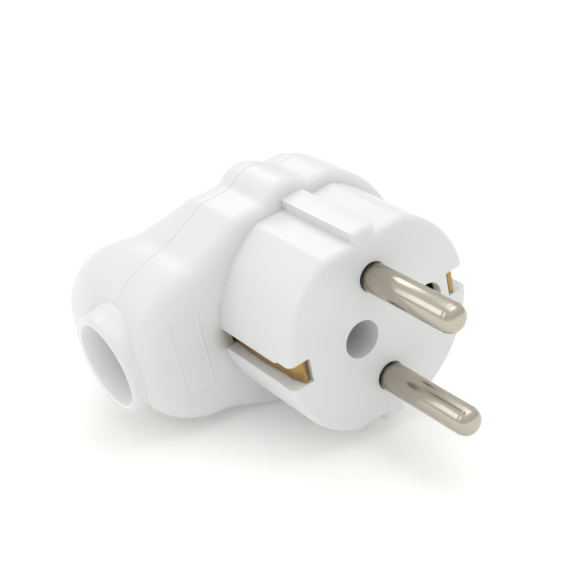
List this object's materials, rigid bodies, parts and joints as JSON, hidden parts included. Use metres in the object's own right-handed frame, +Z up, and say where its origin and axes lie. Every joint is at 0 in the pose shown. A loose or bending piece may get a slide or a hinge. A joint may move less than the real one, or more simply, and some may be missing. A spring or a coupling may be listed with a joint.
{
  "type": "angled plug",
  "caption": "Angled round-nosed mains plug with straight pins, side earth strips, a screwed rear cover and a cord entry square to the pins.",
  "frame": {"origin": "centre of the nose's front face, midway between the two pins", "axes": "+X out of the plug along its pins, -Y towards the cord entry and slightly down, +Z up with the plug lying on its side"},
  "size_m": [0.0658, 0.0558, 0.0401],
  "materials": {
    "white_plastic": "smooth moulded, softly glossy",
    "pin_nickel": "nickel plated, polished, slightly warm",
    "brass_strip": "bare rolled strip",
    "screw_steel": "zinc plated",
    "inner_plastic": "plain moulded"
  },
  "bodies": {
    "root": {"plug_body": "white_plastic", "rear_cover": "white_plastic", "live_pin": "pin_nickel", "neutral_pin": "pin_nickel", "live_clamp_washer": "screw_steel", "neutral_clamp_washer": "screw_steel", "earth_clamp_washer": "screw_steel", "live_terminal_screw": "screw_steel", "neutral_terminal_screw": "screw_steel", "earth_terminal_screw": "screw_steel", "earth_bracket": "brass_strip", "earth_socket": "brass_strip", "earth_terminal": "brass_strip", "contact_retainer": "inner_plastic", "upper_retainer_screw": "screw_steel", "lower_retainer_screw": "screw_steel", "cord_clamp": "inner_plastic", "upper_clamp_screw": "screw_steel", "lower_clamp_screw": "screw_steel", "assembly_screw": "screw_steel", "assembly_insert": "brass_strip"}
  },
  "joints": []
}
